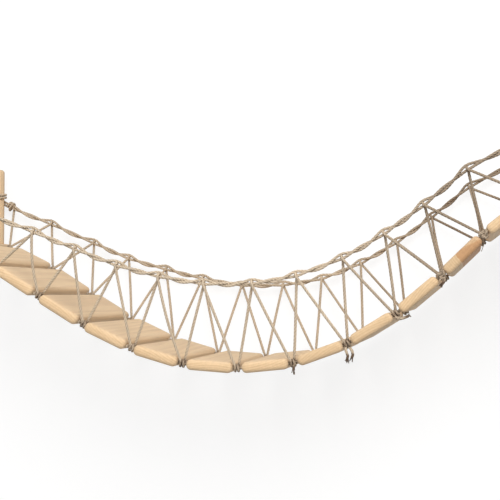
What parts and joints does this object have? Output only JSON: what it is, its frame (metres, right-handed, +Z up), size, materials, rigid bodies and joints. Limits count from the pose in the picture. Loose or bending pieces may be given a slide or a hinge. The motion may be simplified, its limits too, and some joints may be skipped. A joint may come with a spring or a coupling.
{
  "type": "cat rope bridge",
  "caption": "Wall-mounted cat bridge of wooden slats on ropes, with zigzag cord nets at the sides, twisted hand ropes, posts and bracketed end shelves.",
  "frame": {"origin": "the middle of the left shelf's back edge, on the wall", "axes": "+X along the bridge to the right shelf, +Y into the wall, +Z up"},
  "size_m": [1.03, 0.271, 0.33],
  "materials": {
    "wood": "fine sanded pale pine, clear satin",
    "cord": "matt twisted taupe cord",
    "steel": "zinc plated, satin"
  },
  "bodies": {
    "end_shelves": {"bracket_left_1": "steel", "bracket_left_2": "steel", "bracket_right_1": "steel", "bracket_right_2": "steel", "hand_rope_back_a": "cord", "hand_rope_back_b": "cord", "hand_rope_front_a": "cord", "hand_rope_front_b": "cord", "lower_rope_back": "cord", "lower_rope_front": "cord", "net_back_finish": "cord", "net_back_start": "cord", "net_front_finish": "cord", "net_front_start": "cord", "post_left_back": "wood", "post_left_front": "wood", "post_right_back": "wood", "post_right_front": "wood", "post_screw_left_back": "steel", "post_screw_left_front": "steel", "post_screw_right_back": "steel", "post_screw_right_front": "steel", "shelf_left": "wood", "shelf_right": "wood"},
    "slat_01": {"slat_01": "wood", "net_front_01": "cord", "net_back_01": "cord"},
    "slat_02": {"slat_02": "wood", "net_front_02": "cord", "net_back_02": "cord"},
    "slat_03": {"slat_03": "wood", "net_front_03": "cord", "net_back_03": "cord"},
    "slat_04": {"slat_04": "wood", "net_front_04": "cord", "net_back_04": "cord"},
    "slat_05": {"slat_05": "wood", "net_front_05": "cord", "net_back_05": "cord"},
    "slat_06": {"slat_06": "wood", "net_front_06": "cord", "net_back_06": "cord"},
    "slat_07": {"slat_07": "wood", "net_front_07": "cord", "net_back_07": "cord"},
    "slat_08": {"slat_08": "wood", "net_front_08": "cord", "net_back_08": "cord"},
    "slat_09": {"slat_09": "wood", "net_front_09": "cord", "net_back_09": "cord"},
    "slat_10": {"slat_10": "wood", "net_front_10": "cord", "net_back_10": "cord"},
    "slat_11": {"slat_11": "wood", "net_front_11": "cord", "net_back_11": "cord"},
    "slat_12": {"slat_12": "wood", "net_front_12": "cord", "net_back_12": "cord"}
  },
  "joints": [
    {"name": "slat_01_hinge", "type": "hinge", "parent": "end_shelves", "child": "slat_01", "pos_m": [0.0695, -0.1355, 0], "axis": [0, -1, 0], "range_deg": [-6, 6], "stiffness_Nm_per_rad": 4, "deforming": ["lower_rope_front", "lower_rope_back", "hand_rope_front_a", "hand_rope_front_b", "hand_rope_back_a", "hand_rope_back_b"]},
    {"name": "slat_02_hinge", "type": "hinge", "parent": "slat_01", "child": "slat_02", "pos_m": [0.13242, -0.1355, -0.03069], "axis": [0, -1, 0], "range_deg": [-1.51, 1.51]},
    {"name": "slat_03_hinge", "type": "hinge", "parent": "slat_02", "child": "slat_03", "pos_m": [0.19178, -0.1355, -0.06778], "axis": [0, -1, 0], "range_deg": [-2.56, 2.56]},
    {"name": "slat_04_hinge", "type": "hinge", "parent": "slat_03", "child": "slat_04", "pos_m": [0.25178, -0.1355, -0.10383], "axis": [0, -1, 0], "range_deg": [-2.94, 2.94]},
    {"name": "slat_05_hinge", "type": "hinge", "parent": "slat_04", "child": "slat_05", "pos_m": [0.31522, -0.1355, -0.13342], "axis": [0, -1, 0], "range_deg": [-2.56, 2.56]},
    {"name": "slat_06_hinge", "type": "hinge", "parent": "slat_05", "child": "slat_06", "pos_m": [0.38251, -0.1355, -0.15271], "axis": [0, -1, 0], "range_deg": [-1.51, 1.51]},
    {"name": "slat_12_hinge", "type": "hinge", "parent": "end_shelves", "child": "slat_12", "pos_m": [0.80624, -0.1355, 0.04748], "axis": [0, -1, 0], "range_deg": [-5.22, 5.22]},
    {"name": "slat_11_hinge", "type": "hinge", "parent": "slat_12", "child": "slat_11", "pos_m": [0.75108, -0.1355, 0.00438], "axis": [0, -1, 0], "range_deg": [-1.37, 1.37]},
    {"name": "slat_10_hinge", "type": "hinge", "parent": "slat_11", "child": "slat_10", "pos_m": [0.70072, -0.1355, -0.04425], "axis": [0, -1, 0], "range_deg": [-2.41, 2.41]},
    {"name": "slat_09_hinge", "type": "hinge", "parent": "slat_10", "child": "slat_09", "pos_m": [0.6471, -0.1355, -0.08924], "axis": [0, -1, 0], "range_deg": [-2.79, 2.79]},
    {"name": "slat_08_hinge", "type": "hinge", "parent": "slat_09", "child": "slat_08", "pos_m": [0.58774, -0.1355, -0.12634], "axis": [0, -1, 0], "range_deg": [-2.41, 2.41]},
    {"name": "slat_07_hinge", "type": "hinge", "parent": "slat_08", "child": "slat_07", "pos_m": [0.52196, -0.1355, -0.15028], "axis": [0, -1, 0], "range_deg": [-1.37, 1.37]}
  ],
  "couplings": [
    {"joint": "slat_02_hinge", "follows": "slat_01_hinge", "ratio": -0.2495},
    {"joint": "slat_03_hinge", "follows": "slat_01_hinge", "ratio": -0.4234},
    {"joint": "slat_04_hinge", "follows": "slat_01_hinge", "ratio": -0.487},
    {"joint": "slat_05_hinge", "follows": "slat_01_hinge", "ratio": -0.4234},
    {"joint": "slat_06_hinge", "follows": "slat_01_hinge", "ratio": -0.2495},
    {"joint": "slat_12_hinge", "follows": "slat_01_hinge", "ratio": 0.8669},
    {"joint": "slat_11_hinge", "follows": "slat_01_hinge", "ratio": -0.2253},
    {"joint": "slat_10_hinge", "follows": "slat_01_hinge", "ratio": -0.3992},
    {"joint": "slat_09_hinge", "follows": "slat_01_hinge", "ratio": -0.4628},
    {"joint": "slat_08_hinge", "follows": "slat_01_hinge", "ratio": -0.3992},
    {"joint": "slat_07_hinge", "follows": "slat_01_hinge", "ratio": -0.2253}
  ]
}
